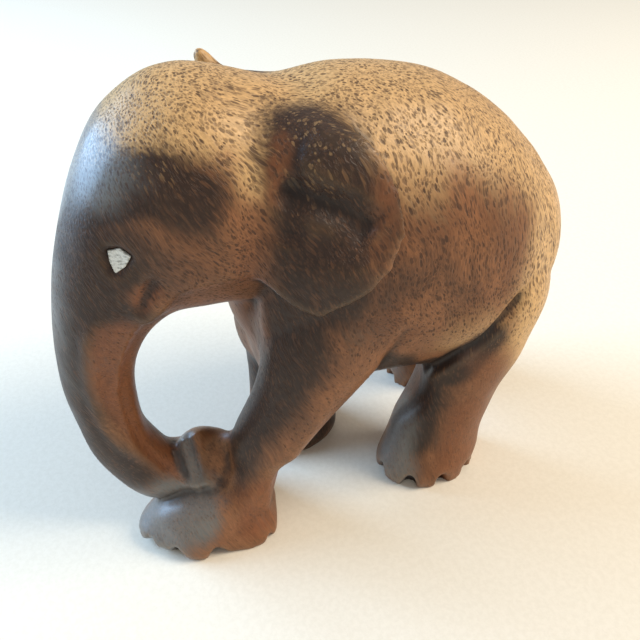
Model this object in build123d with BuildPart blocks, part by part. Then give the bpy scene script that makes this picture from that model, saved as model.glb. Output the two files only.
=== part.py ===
"""Walking elephant carved from one block of flecked wood, with an inlaid chip for each eye.

The row frame has +Z up. The elephant faces -Y, so its left side is +X, and it stands on Z = 0.
"""

from build123d import *
from math import cos, dist, pi, radians, sin
import os

# Driving dimensions, millimetres

# Points along each egg-shaped section, and the pitch of the sections along the legs and the trunk
SECTION_POINTS = 16
LEG_SPACING = 4.5
TRUNK_SPACING = 5.0
ROUNDING = 1e-9

# Torso: x, y, z of the widest line, reach up, reach down, half width
TORSO_TIP_FRONT = (0, -19.0, 52.0)
TORSO_TIP_REAR = (0, 47.0, 50.0)
TORSO = [
    (0.0, -17.0, 53.0, 17.0, 14.0, 11.0),
    (0.0, -12.0, 54.0, 27.0, 22.0, 17.0),
    (0.0, -5.0, 53.5, 30.0, 25.5, 19.8),
    (0.0, 5.0, 52.5, 30.9, 26.3, 21.5),
    (0.0, 15.0, 51.5, 29.5, 26.0, 22.4),
    (0.0, 24.5, 50.0, 26.6, 24.0, 22.2),
    (0.0, 32.2, 49.0, 22.8, 21.0, 20.3),
    (0.0, 38.8, 49.0, 16.8, 16.5, 16.8),
    (0.0, 43.4, 49.5, 10.6, 10.5, 11.8),
    (0.0, 46.2, 50.0, 4.6, 5.0, 5.4),
]

# Head and trunk: x, y, z of the section's centre, half width, reach outside the bend, reach inside,
# travel angle (0 forwards, 90 down, 180 back)
HEAD_TRUNK = [
    (0.0, -8.0, 64.0, 14.0, 18.0, 15.0, 0),
    (0.0, -17.0, 66.0, 15.6, 20.5, 17.0, 4),
    (0.0, -24.5, 66.5, 15.4, 20.2, 17.0, 10),
    (0.0, -30.5, 64.0, 13.6, 16.8, 14.8, 20),
    (0.0, -35.0, 59.5, 11.2, 12.4, 11.4, 34),
    (0.0, -38.6, 52.8, 8.9, 8.9, 8.2, 52),
    (0.0, -41.0, 45.0, 7.4, 7.0, 6.2, 70),
    (0.2, -42.0, 36.0, 6.5, 6.4, 5.2, 85),
    (0.6, -41.6, 26.5, 6.0, 6.1, 4.8, 100),
    (1.2, -39.0, 18.0, 5.6, 6.3, 5.0, 122),
    (2.4, -34.2, 12.6, 5.6, 6.8, 5.6, 147),
    (4.0, -28.6, 12.4, 5.8, 6.8, 6.8, 168),
    (5.6, -22.6, 14.2, 5.2, 6.4, 7.0, 186),
]

# Lower jaw: x, y, z of each section's centre, half width, reach up, reach down
JAW = [
    (0.0, -10.0, 54.0, 8.0, 6.0, 7.0),
    (0.0, -20.0, 53.5, 6.5, 6.0, 5.5),
    (0.0, -28.5, 54.0, 3.5, 4.5, 3.5),
]

# Legs: x, y, z of each level section, half width across, half length along the body
LEGS = {
    "left_fore": [
        (8.0, -1.0, 66.0, 6.0, 8.0),
        (11.0, -2.0, 56.0, 8.2, 11.0),
        (11.5, -4.5, 44.0, 9.0, 12.0),
        (11.0, -8.5, 32.0, 8.4, 11.0),
        (10.0, -14.0, 22.0, 7.4, 9.6),
        (9.0, -17.8, 14.5, 6.9, 8.0),
        (8.0, -23.8, 9.5, 7.6, 11.8),
        (7.4, -27.4, 5.5, 8.9, 14.2),
        (7.4, -28.4, 2.0, 9.3, 15.0),
        (7.4, -28.4, 0.0, 9.0, 14.6),
    ],
    "right_fore": [
        (-8.0, -4.0, 66.0, 6.0, 8.0),
        (-10.6, -4.0, 56.0, 7.8, 10.0),
        (-11.2, -4.5, 44.0, 8.3, 10.5),
        (-11.0, -4.5, 32.0, 8.0, 9.8),
        (-10.2, -4.5, 20.0, 7.3, 8.8),
        (-9.6, -4.6, 11.0, 7.4, 8.8),
        (-9.3, -5.0, 5.0, 8.4, 10.2),
        (-9.3, -5.0, 2.5, 8.7, 10.5),
        (-9.3, -5.0, 0.0, 8.4, 10.2),
    ],
    "left_hind": [
        (8.0, 28.0, 64.0, 6.0, 9.0),
        (10.5, 27.0, 54.0, 9.5, 11.5),
        (11.8, 27.0, 43.0, 10.6, 13.4),
        (11.8, 25.5, 32.0, 9.7, 12.4),
        (11.5, 22.8, 21.0, 8.4, 10.4),
        (11.5, 20.0, 12.0, 8.0, 9.9),
        (11.5, 18.8, 5.0, 8.5, 10.9),
        (11.5, 18.3, 2.5, 8.7, 11.3),
        (11.5, 18.3, 0.0, 8.5, 11.0),
    ],
    "right_hind": [
        (-8.0, 27.0, 64.0, 6.0, 9.0),
        (-10.5, 27.0, 54.0, 9.5, 11.5),
        (-12.0, 28.0, 43.0, 10.2, 13.0),
        (-13.0, 30.3, 32.0, 9.2, 11.6),
        (-13.4, 32.6, 21.0, 8.2, 10.4),
        (-13.5, 33.2, 12.0, 7.8, 9.6),
        (-13.5, 33.5, 5.0, 8.3, 10.2),
        (-13.5, 33.5, 2.5, 8.4, 10.3),
        (-13.5, 33.5, 0.0, 8.2, 10.0),
    ],
}

# Ears stand proud of the shoulder: x, y, z of the widest line, reach up, reach down, half width
EAR_SHELL = [
    (0.0, -24.0, 53.0, 30.0, 26.0, 14.0),
    (0.0, -14.0, 54.0, 33.0, 26.0, 20.0),
    (0.0, -4.0, 54.0, 34.0, 26.0, 24.5),
    (0.0, 6.0, 54.0, 34.0, 26.0, 26.0),
]
EAR_OUTLINE = [
    (-14.2, 80.0), (-10.5, 81.4), (-5.8, 80.8), (-2.0, 78.2), (0.4, 73.8), (0.9, 68.4), (-1.0, 62.4),
    (-5.8, 57.6), (-11.6, 55.0), (-18.6, 60.6), (-17.6, 66.0), (-15.8, 73.0),
]
EAR_START = 6.0
EAR_REACH = 26.0

# Tail in low relief down the middle of the rump: x, y, z of each centre and half width
TAIL = [
    (0.0, 41.6, 60.5, 1.6),
    (0.0, 44.8, 54.5, 1.7),
    (0.1, 46.3, 48.0, 1.6),
    (0.4, 45.2, 41.0, 1.4),
    (0.8, 41.6, 34.0, 1.4),
    (1.2, 37.0, 28.5, 2.0),
]

# Eye chips, sunk flat into a pocket cut square to the cheek
EYE_CENTRE = (10.4, -37.2, 65.3)
EYE_NORMAL = (0.80, -0.58, 0.15)
EYE_BACKWARD = (0.58, 0.80, 0.0)
EYE_OUTLINE = [(-1.7, 1.5), (0.4, 2.1), (2.1, 0.8), (1.0, -1.0), (-0.8, -2.4), (-1.6, -0.3)]
EYE_MARGIN = 0.25
POCKET_DEPTH = 1.6
CHIP_THICKNESS = 1.3
POCKET_RISE = 2.0

# Toes: notches cut up from the sole round the front and outer side of each foot,
# at these turns in degrees outward from straight ahead
TOE_NOTCH_TURNS = (-45, 0, 45, 84, 120)
TOE_NOTCH_RADIUS = 1.1
TOE_NOTCH_HEIGHT = 3.4


def even_levels(levels, spacing):
    """Levels the given distance apart along a monotone curve through the named ones."""
    at = [0.0]
    for before, after in zip(levels, levels[1:]):
        at.append(at[-1] + dist(before[:3], after[:3]))
    slopes = []
    for column in zip(*levels):
        rise = [
            (column[k + 1] - column[k]) / (at[k + 1] - at[k]) for k in range(len(at) - 1)
        ]
        middle = [2 * a * b / (a + b) if a * b > 0 else 0.0 for a, b in zip(rise, rise[1:])]
        slopes.append([rise[0], *middle, rise[-1]])
    count = max(2, round(at[-1] / spacing))
    result = []
    for step in range(count + 1):
        target = at[-1] * step / count
        k = max(i for i in range(len(at) - 1) if at[i] <= target + ROUNDING)
        span = at[k + 1] - at[k]
        t = (target - at[k]) / span
        row = []
        for column, slope in zip(zip(*levels), slopes):
            row.append(
                column[k] * (1 + 2 * t) * (1 - t) ** 2
                + slope[k] * span * t * (1 - t) ** 2
                + column[k + 1] * t**2 * (3 - 2 * t)
                + slope[k + 1] * span * t**2 * (t - 1)
            )
        result.append(tuple(row))
    return result


def egg_points(half_width, up, down, first, last):
    """Points round an egg: half ellipses of different height above and below its widest line."""
    points = []
    for k in range(first, last):
        turn = 2 * pi * k / SECTION_POINTS
        reach = up if sin(turn) > 0 else down
        points.append((half_width * cos(turn), reach * sin(turn)))
    return points


def egg_face(plane, half_width, up, down):
    """An egg-shaped face drawn as one closed curve."""
    with BuildSketch(plane) as section:
        with BuildLine():
            Spline(*egg_points(half_width, up, down, 0, SECTION_POINTS), periodic=True)
        make_face()
    return section.sketch


def split_egg_face(plane, half_width, up, down):
    """An egg-shaped face drawn as two curves, whose joints keep a loft from twisting on a bend."""
    half = SECTION_POINTS // 2
    with BuildSketch(plane) as section:
        with BuildLine():
            Spline(*egg_points(half_width, up, down, 0, half + 1), tangents=[(0, 1), (0, -1)])
            Spline(
                *egg_points(half_width, up, down, half, SECTION_POINTS + 1),
                tangents=[(0, -1), (0, 1)],
            )
        make_face()
    return section.sketch


def cross_plane(x, y, z):
    """Plane across the body with its y axis up, looking along -Y."""
    return Plane(origin=(x, y, z), x_dir=(1, 0, 0), z_dir=(0, -1, 0))


with BuildPart() as torso:
    faces = [
        egg_face(cross_plane(x, y, z), half, up, down)
        for x, y, z, up, down, half in TORSO
    ]
    loft(sections=[Vertex(*TORSO_TIP_FRONT), *faces, Vertex(*TORSO_TIP_REAR)])


def trunk_plane(x, y, z, travel):
    """Plane across the head or trunk where its middle line travels at the given angle."""
    a = radians(travel)
    return Plane(origin=(x, y, z), x_dir=(1, 0, 0), z_dir=(0, -cos(a), -sin(a)))


with BuildPart() as head:
    loft(sections=[
        split_egg_face(trunk_plane(x, y, z, travel), half, outer, inner)
        for x, y, z, half, outer, inner, travel in even_levels(HEAD_TRUNK, TRUNK_SPACING)
    ])

# Lower jaw
with BuildPart() as jaw:
    loft(sections=[
        egg_face(cross_plane(x, y, z), half, up, down) for x, y, z, half, up, down in JAW
    ])


def make_leg(levels):
    """One leg lofted up from its sole."""
    with BuildPart() as leg:
        loft(sections=[
            egg_face(Plane.XY.offset(z) * Location((x, y, 0)), across, along, along)
            for x, y, z, across, along in reversed(even_levels(levels, LEG_SPACING))
        ])
    return leg.part


with BuildPart() as ear_shell:
    loft(sections=[
        egg_face(cross_plane(x, y, z), half, up, down) for x, y, z, up, down, half in EAR_SHELL
    ])


def make_ear(side):
    """One ear, side 1 for the left and -1 for the right."""
    with BuildPart() as ear:
        with BuildSketch(Plane.YZ.offset(side * EAR_START)):
            with BuildLine():
                Spline(*EAR_OUTLINE, periodic=True)
            make_face()
        extrude(amount=side * EAR_REACH)
        add(ear_shell.part, mode=Mode.INTERSECT)
    return ear.part


def tail_plane(before, here, after):
    """Plane across the tail, square to the run between its neighbouring centres."""
    run = (0, after[1] - before[1], after[2] - before[2])
    return Plane(origin=here[:3], x_dir=(1, 0, 0), z_dir=run)


with BuildPart() as tail:
    ends = [TAIL[0], *TAIL, TAIL[-1]]
    loft(sections=[
        egg_face(tail_plane(before, here, after), here[3], here[3], here[3])
        for before, here, after in zip(ends, ends[1:], ends[2:])
    ])

def eye_plane(side):
    """Plane on the cheek at one eye, turned so that the outline mirrors from side to side."""
    x, y, z = EYE_CENTRE
    out, forward, up = EYE_NORMAL
    across, back, level = EYE_BACKWARD
    return Plane(
        origin=(side * x, y, z),
        x_dir=(side * across, back, level),
        z_dir=(side * out, forward, up),
    )


def make_inlay(side, margin, height):
    """The solid standing on the pocket floor: the chip itself, or the pocket it drops into."""
    with BuildPart() as inlay:
        with BuildSketch(eye_plane(side).offset(-POCKET_DEPTH)):
            with BuildLine():
                Polyline(*[(u, side * v) for u, v in EYE_OUTLINE], close=True)
            make_face()
            if margin:
                offset(amount=margin)
        extrude(amount=height)
    return inlay.part


def toe_notches():
    """Where every toe notch stands: the rim point of each sole at each turn."""
    places = []
    for levels in LEGS.values():
        x, y, z, across, along = levels[-1]
        outward = across if x > 0 else -across
        for turn in TOE_NOTCH_TURNS:
            places.append((x + outward * sin(radians(turn)), y - along * cos(radians(turn)), z))
    return places


def build_all():
    """Every solid of the elephant under its name."""
    with BuildPart() as carved_body:
        add(torso.part)
        for levels in LEGS.values():
            add(make_leg(levels))
        add(head.part)
        add(jaw.part)
        add(tail.part)
        for side in (1, -1):
            add(make_ear(side))
        with Locations(*toe_notches()):
            Cone(
                bottom_radius=TOE_NOTCH_RADIUS,
                top_radius=0,
                height=TOE_NOTCH_HEIGHT,
                align=(Align.CENTER, Align.CENTER, Align.MIN),
                mode=Mode.SUBTRACT,
            )
        for side in (1, -1):
            add(make_inlay(side, EYE_MARGIN, POCKET_DEPTH + POCKET_RISE), mode=Mode.SUBTRACT)
    return {
        "carved_body": carved_body.part,
        "left_eye": make_inlay(1, 0, CHIP_THICKNESS),
        "right_eye": make_inlay(-1, 0, CHIP_THICKNESS),
    }


if __name__ == "__main__":
    os.makedirs("parts", exist_ok=True)
    for name, part in build_all().items():
        part.label = name
        export_step(part, f"parts/{name}.step")
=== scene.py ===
"""Looks of the carved wooden elephant: its sculpted body, its two inlaid eyes and a plain studio.

Lengths in the tables below are millimetres in the part's own frame: +X is the elephant's left,
+Y its tail end, +Z up, and the origin is on the floor under the middle of the body.
"""

import logging
from dataclasses import dataclass
from enum import Enum
from math import cos, radians, sin

import bmesh
import bpy
import numpy as np
from mathutils import Euler, Matrix, Vector, noise


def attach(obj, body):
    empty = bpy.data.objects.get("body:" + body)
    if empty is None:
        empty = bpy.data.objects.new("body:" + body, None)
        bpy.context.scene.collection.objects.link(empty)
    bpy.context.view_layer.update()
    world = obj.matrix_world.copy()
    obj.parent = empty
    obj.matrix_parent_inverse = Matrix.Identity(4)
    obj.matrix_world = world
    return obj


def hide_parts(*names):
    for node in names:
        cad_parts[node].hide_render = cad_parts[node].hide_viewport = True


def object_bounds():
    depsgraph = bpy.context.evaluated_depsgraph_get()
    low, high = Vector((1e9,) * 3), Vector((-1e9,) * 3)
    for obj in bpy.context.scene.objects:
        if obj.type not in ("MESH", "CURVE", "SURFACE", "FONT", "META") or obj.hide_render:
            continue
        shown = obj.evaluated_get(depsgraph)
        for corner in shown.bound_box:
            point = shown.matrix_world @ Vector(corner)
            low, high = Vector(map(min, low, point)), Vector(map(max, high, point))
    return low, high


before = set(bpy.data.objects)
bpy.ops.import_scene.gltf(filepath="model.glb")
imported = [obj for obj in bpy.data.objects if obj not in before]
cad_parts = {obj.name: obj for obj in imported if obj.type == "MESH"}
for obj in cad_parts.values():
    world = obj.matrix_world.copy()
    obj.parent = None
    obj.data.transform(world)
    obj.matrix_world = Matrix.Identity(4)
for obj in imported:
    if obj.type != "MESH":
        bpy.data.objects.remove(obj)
CAD_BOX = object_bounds()

LOG = logging.getLogger("elephant")
MM = 0.001
SEAM = 0.001
TINY = 1e-9
BODY = "root"
Point = tuple[float, float, float]
Colour = tuple[float, float, float, float]
Object, Mesh, Material = bpy.types.Object, bpy.types.Mesh, bpy.types.Material
NodeTree, Socket = bpy.types.NodeTree, bpy.types.NodeSocket


# ---- carving tools


class Cut(Enum):
    """Cross-section that a tool leaves in the wood."""

    GOUGE = "round bottom"
    KNIFE = "sharp bottom"


class Tint(Enum):
    """Colour channels painted on the body as vertex attributes."""

    # golden top, back and haunch: partly the wood's own pale tone, partly painted light from above and
    # behind
    GOLD_AND_PAINTED_LIGHT = "gold_and_painted_light"
    # dark staining; on the far fore foot it is a painted shadow
    STAIN_AND_SHADE = "stain_and_shade_dark"
    WARM = "warm"
    # blue-grey wash: partly dust, partly a painted reflection of the window
    DUST_AND_SHEEN = "grey"
    FLECK = "fleck"
    # dark in the toe notches: partly grime, partly painted shade
    SOOT_AND_SHADE = "soot_and_shade"


def flow_line(points: tuple[Point, ...], step: float = 0.4) -> np.ndarray:
    """Sample a smooth curve through a few points.

    Args:
        points: the places that the curve goes through, in millimetres.
        step: the distance between samples.

    Returns:
        An array of samples, one row each.
    """
    stops = np.array(points, float)
    if len(stops) == 1:
        return stops
    stops = np.vstack([2 * stops[0] - stops[1], stops, 2 * stops[-1] - stops[-2]])
    pieces = []
    for before, start, end, after in zip(stops, stops[1:], stops[2:], stops[3:]):
        count = max(2, int(np.linalg.norm(end - start) / step))
        t = np.linspace(0, 1, count, endpoint=False)[:, None]
        pieces.append(
            0.5 * (2 * start + (end - before) * t
                   + (2 * before - 5 * start + 4 * end - after) * t ** 2
                   + (3 * start - before - 3 * end + after) * t ** 3)
        )
    return np.vstack(pieces + [stops[-2:-1]])


def mirrored(points: tuple[Point, ...]) -> tuple[Point, ...]:
    """The same points on the elephant's other side."""
    return tuple((-x, y, z) for x, y, z in points)


def routes(path: tuple[Point, ...], both_sides: bool) -> list[tuple[Point, ...]]:
    """The path, and its mirror image if both sides are worked."""
    return [path, mirrored(path)] if both_sides else [path]


def rounded(share: np.ndarray) -> np.ndarray:
    """A straight fall from 1 to 0, made level at both ends."""
    return share * share * (3 - 2 * share)


def reach(vertices: np.ndarray, line: np.ndarray, radius: float) -> tuple[np.ndarray, ...]:
    """Find the vertices near a line.

    Args:
        vertices: every vertex, in millimetres.
        line: the samples of the line.
        radius: the furthest distance that counts.

    Returns:
        The indices of the near vertices, their distances and their places along the line, 0 to 1.
    """
    low = line.min(0) - radius
    high = line.max(0) + radius
    near = np.flatnonzero(np.all((vertices > low) & (vertices < high), axis=1))
    gap = np.linalg.norm(vertices[near, None, :] - line[None, :, :], axis=2)
    place = gap.argmin(1) / max(1, len(line) - 1)
    gap = gap.min(1)
    close = gap < radius
    return near[close], gap[close], place[close]


@dataclass(frozen=True)
class Stroke:
    """One pass of a tool along a line: a positive depth cuts in, a negative one leaves a ridge."""

    path: tuple[Point, ...]
    width: float
    depth: float
    cut: Cut = Cut.GOUGE
    fade: float = 0.25
    both_sides: bool = False

    def carve(self, vertices: np.ndarray, normals: np.ndarray) -> None:
        """Move the vertices near the line along their normals.

        Args:
            vertices: every vertex, in millimetres, changed in place.
            normals: the direction in which each vertex moves.
        """
        for route in routes(self.path, self.both_sides):
            line = flow_line(route)
            index, gap, place = reach(vertices, line, self.width)
            share = 1 - gap / self.width
            if self.cut is Cut.GOUGE:
                share = rounded(share)
            if self.fade and len(line) > 1:
                ends = np.clip(np.minimum(place, 1 - place) / self.fade, 0, 1)
                share = share * np.sin(ends * np.pi / 2)
            vertices[index] -= normals[index] * (self.depth * share)[:, None]


@dataclass(frozen=True)
class Swell:
    """A soft rounded place that is pushed out, or in with a negative height, along a direction."""

    centre: Point
    radii: Point
    height: float
    along: Point | None = None
    both_sides: bool = False

    def carve(self, vertices: np.ndarray, normals: np.ndarray) -> None:
        """Move the vertices inside the ellipsoid, most at its centre.

        Args:
            vertices: every vertex, in millimetres, changed in place.
            normals: the direction in which each vertex moves where no other is given.
        """
        for side in (1, -1) if self.both_sides else (1,):
            flip = np.array([side, 1, 1])
            offset = (vertices - np.array(self.centre) * flip) / np.array(self.radii)
            share = np.clip(1 - (offset ** 2).sum(1), 0, None) ** 2
            push = normals if self.along is None else np.array(self.along) * flip
            vertices += push * (self.height * share)[:, None]


@dataclass(frozen=True)
class Lump:
    """A rounded block of wood that stands on the body, with flat faces cut by a knife."""

    centre: Point
    radii: Point
    turn: Point = (0.0, 0.0, 0.0)
    faces: tuple[tuple[Point, Point], ...] = ()
    both_sides: bool = False

    def add_to(self, mesh: Mesh) -> None:
        """Join the block's closed mesh to another.

        Args:
            mesh: the mesh to join, in millimetres, changed in place.
        """
        for side in (1, -1) if self.both_sides else (1,):
            shape = bmesh.new()
            bmesh.ops.create_uvsphere(shape, u_segments=40, v_segments=24, radius=1.0)
            turn = Euler([radians(angle) for angle in self.turn]).to_matrix().to_4x4()
            size = Matrix.Diagonal((*self.radii, 1.0))
            shape.transform(Matrix.Translation(self.centre) @ turn @ size)
            for place, normal in self.faces:
                loose = shape.verts[:] + shape.edges[:] + shape.faces[:]
                cut = bmesh.ops.bisect_plane(
                    shape, geom=loose, plane_co=place, plane_no=normal, clear_outer=True)
                rim = [part for part in cut["geom_cut"] if isinstance(part, bmesh.types.BMEdge)]
                bmesh.ops.edgeloop_fill(shape, edges=rim)
            if side < 0:
                shape.transform(Matrix.Diagonal((-1, 1, 1, 1)))
                bmesh.ops.reverse_faces(shape, faces=shape.faces[:])
            block = bpy.data.meshes.new("block")
            shape.to_mesh(block)
            shape.from_mesh(mesh)
            shape.to_mesh(mesh)
            shape.free()
            bpy.data.meshes.remove(block)


@dataclass(frozen=True)
class Wash:
    """A wash of one tint, full along a line and gone at the radius; a negative one takes tint off."""

    tint: Tint
    path: tuple[Point, ...]
    radius: float
    strength: float = 1.0
    both_sides: bool = False
    step: float = 1.0

    def paint(self, vertices: np.ndarray, coat: np.ndarray) -> None:
        """Add this wash to the coat of its tint, or take it off.

        Args:
            vertices: every vertex, in millimetres.
            coat: the tint's value at each vertex, changed in place.
        """
        for route in routes(self.path, self.both_sides):
            index, gap, _ = reach(vertices, flow_line(route, self.step), self.radius)
            share = rounded(1 - gap / self.radius)
            if self.strength < 0:
                coat[index] *= 1 + self.strength * share
            else:
                coat[index] = np.maximum(coat[index], np.minimum(self.strength * share, 1.0))


@dataclass(frozen=True)
class Rub:
    """A place rubbed smooth with sandpaper along a line."""

    path: tuple[Point, ...]
    radius: float
    rounds: int
    both_sides: bool = False

    def smooth(self, clay: "Clay") -> None:
        """Average the surface near the line with itself, less towards the edge of the place.

        Args:
            clay: the mesh, changed in place.
        """
        for route in routes(self.path, self.both_sides):
            share = np.zeros(len(clay.vertices))
            index, gap, _ = reach(clay.vertices, flow_line(route), self.radius)
            share[index] = 1 - (gap / self.radius) ** 2
            clay.blend(share, self.rounds)


# ---- mesh work


class Clay:
    """A mesh held as arrays, in millimetres, so that it can be relaxed and carved quickly."""

    def __init__(self, mesh: Mesh) -> None:
        """Read a mesh.

        Args:
            mesh: the mesh, in millimetres.
        """
        self.mesh = mesh
        self.vertices = np.zeros(len(mesh.vertices) * 3)
        mesh.vertices.foreach_get("co", self.vertices)
        self.vertices = self.vertices.reshape(-1, 3)
        edges = np.zeros(len(mesh.edges) * 2, np.int64)
        mesh.edges.foreach_get("vertices", edges)
        self.start, self.end = edges.reshape(-1, 2).T
        self.valence = np.bincount(edges, minlength=len(self.vertices)).clip(1)[:, None]

    def around(self, values: np.ndarray) -> np.ndarray:
        """Average what each vertex's neighbours hold.

        Args:
            values: one row for each vertex.

        Returns:
            The mean of the neighbours' rows, one row for each vertex.
        """
        count = len(values)
        total = np.empty_like(values)
        for axis in range(values.shape[1]):
            total[:, axis] = (
                np.bincount(self.start, values[self.end, axis], count)
                + np.bincount(self.end, values[self.start, axis], count)
            )
        return total / self.valence

    def relax(self, rounds: int, shrink: float = 0.5, swell: float = -0.53) -> None:
        """Smooth the surface and keep its volume.

        Args:
            rounds: how many times it is smoothed.
            shrink: how far a vertex moves to its neighbours' mean.
            swell: how far it moves back.
        """
        for _ in range(rounds):
            for amount in (shrink, swell):
                self.vertices += amount * (self.around(self.vertices) - self.vertices)

    def blend(self, share: np.ndarray, rounds: int) -> None:
        """Average part of the surface with its neighbours.

        Args:
            share: how much each vertex takes part, 0 to 1.
            rounds: how many times it is averaged.
        """
        for _ in range(rounds):
            self.vertices += (0.5 * share)[:, None] * (self.around(self.vertices) - self.vertices)

    def store(self) -> None:
        """Write the vertices back to the mesh."""
        self.mesh.vertices.foreach_set("co", self.vertices.ravel())
        self.mesh.update()

    def normals(self, blur: int = 0) -> np.ndarray:
        """Each vertex's outward direction.

        Args:
            blur: how many times the directions are averaged with their neighbours'.

        Returns:
            One unit vector for each vertex.
        """
        self.store()
        found = np.zeros(len(self.vertices) * 3)
        self.mesh.vertex_normals.foreach_get("vector", found)
        found = found.reshape(-1, 3)
        for _ in range(blur):
            found = 0.5 * (found + self.around(found))
        return found / np.linalg.norm(found, axis=1).clip(TINY)[:, None]

    def relief(self, rounds: int) -> np.ndarray:
        """Measure how deep each vertex lies below the blurred surface.

        Args:
            rounds: how many times the surface is blurred.

        Returns:
            The depth at each vertex, negative where it stands proud.
        """
        blurred = self.vertices.copy()
        for _ in range(rounds):
            blurred += 0.5 * (self.around(blurred) - blurred)
        return ((blurred - self.vertices) * self.normals(2)).sum(1)

    def ripple(self, pitch: object, height: float) -> None:
        """Move the surface in and out by smooth noise.

        Args:
            pitch: how many waves there are in a millimetre, one number or one for each axis.
            height: the furthest that the surface moves.
        """
        out = self.normals(2)
        waves = np.array([noise.noise(Vector(v)) for v in self.vertices * pitch])
        self.vertices += out * (height * waves)[:, None]

    def save(self, name: str, values: np.ndarray) -> None:
        """Keep one number for each vertex as a named attribute."""
        layer = self.mesh.attributes.new(name, "FLOAT", "POINT")
        layer.data.foreach_set("value", values.astype(np.float32))


def linked(name: str, data: bpy.types.ID) -> Object:
    """Put an object that shows the given data in the scene.

    Args:
        name: the object's name.
        data: its mesh, lamp or camera.

    Returns:
        The object.
    """
    made = bpy.data.objects.new(name, data)
    bpy.context.scene.collection.objects.link(made)
    return made


def remeshed(source: Mesh, name: str, voxel: float) -> Mesh:
    """Rebuild closed meshes as one even skin.

    Args:
        source: the meshes to join, in millimetres.
        name: the new mesh's name.
        voxel: the size of a cell, in millimetres.

    Returns:
        The new mesh.
    """
    holder = linked(name, source)
    modifier = holder.modifiers.new("skin", "REMESH")
    modifier.mode = "VOXEL"
    modifier.voxel_size = voxel
    modifier.adaptivity = 0.0
    graph = bpy.context.evaluated_depsgraph_get()
    skin = bpy.data.meshes.new_from_object(holder.evaluated_get(graph))
    bpy.data.objects.remove(holder)
    skin.name = name
    return skin


def node_mesh(node: str) -> Mesh:
    """Copy a CAD node's mesh, scale it to millimetres and close its seams.

    Args:
        node: the node's name.

    Returns:
        The copy.
    """
    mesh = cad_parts[node].data.copy()
    mesh.transform(Matrix.Scale(1 / MM, 4))
    shape = bmesh.new()
    shape.from_mesh(mesh)
    bmesh.ops.remove_doubles(shape, verts=shape.verts, dist=SEAM)
    shape.to_mesh(mesh)
    shape.free()
    mesh.materials.clear()
    return mesh


def shown(mesh: Mesh, name: str, node: str, finish: Material) -> Object:
    """Put a finished mesh in the scene in place of a CAD node.

    Args:
        mesh: the mesh, in millimetres.
        name: the piece's name.
        node: the CAD node that it stands for.
        finish: the material that dresses it.

    Returns:
        The piece.
    """
    mesh.transform(Matrix.Scale(MM, 4))
    mesh.materials.clear()
    mesh.materials.append(finish)
    mesh.shade_smooth()
    piece = linked(name, mesh)
    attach(piece, BODY)
    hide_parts(node)
    LOG.info("%s: %d faces", name, len(mesh.polygons))
    return piece


# ---- finishes


class Bench:
    """Adds and links nodes in one tree, so that a recipe reads as one call for each node."""

    def __init__(self, tree: NodeTree) -> None:
        """Work on the given tree."""
        self.tree = tree

    def feed(self, socket: Socket, value: object) -> None:
        """Link a socket, or set its value.

        Args:
            socket: the input to feed.
            value: another node's output, or a plain value.
        """
        if isinstance(value, Socket):
            self.tree.links.new(value, socket)
        else:
            socket.default_value = value

    def node(self, kind: str, inputs: dict | None = None, **settings: object) -> bpy.types.Node:
        """Add a node.

        Args:
            kind: the node's type.
            inputs: what feeds each input, by the input's name or place.
            settings: the node's own properties.

        Returns:
            The node.
        """
        made = self.tree.nodes.new("ShaderNode" + kind)
        for name, value in settings.items():
            setattr(made, name, value)
        for key, value in (inputs or {}).items():
            self.feed(made.inputs[key], value)
        return made

    def math(self, operation: str, *values: object) -> Socket:
        """One step of arithmetic."""
        return self.node("Math", dict(enumerate(values)), operation=operation).outputs[0]

    def vector(self, operation: str, *values: object) -> Socket:
        """One step of vector arithmetic."""
        keys = (0, "Scale" if operation == "SCALE" else 1)
        return self.node("VectorMath", dict(zip(keys, values)), operation=operation).outputs[0]

    def ease(self, value: object, low: object, high: object,
             at_low: float = 0.0, at_high: float = 1.0) -> Socket:
        """Take a value smoothly from one number to another between two limits."""
        feeds = {"Value": value, "From Min": low, "From Max": high, "To Min": at_low, "To Max": at_high}
        return self.node("MapRange", feeds, interpolation_type="SMOOTHSTEP").outputs[0]

    def mix(self, share: object, first: object, second: object) -> Socket:
        """Blend two colours."""
        return self.node("Mix", {0: share, 6: first, 7: second}, data_type="RGBA").outputs[2]

    def noise(self, vector: object, scale: float, detail: float = 2.0,
              roughness: float = 0.5) -> Socket:
        """Cloudy noise, 0 to 1."""
        feeds = {"Vector": vector, "Scale": scale, "Detail": detail, "Roughness": roughness}
        return self.node("TexNoise", feeds).outputs["Fac"]

    def bump(self, height: object, strength: float, distance: float) -> Socket:
        """Tilt the surface by a height whose full step is the given distance in millimetres."""
        feeds = {"Strength": strength, "Distance": distance * MM, "Height": height}
        return self.node("Bump", feeds).outputs[0]

    def painted(self, tint: str) -> Socket:
        """A value painted on the mesh."""
        return self.node("Attribute", attribute_name=tint).outputs["Fac"]

    def millimetres(self) -> Socket:
        """The place in the part's own frame, in millimetres."""
        place = self.node("TexCoord").outputs["Object"]
        return self.vector("SCALE", place, 1 / MM)


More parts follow.
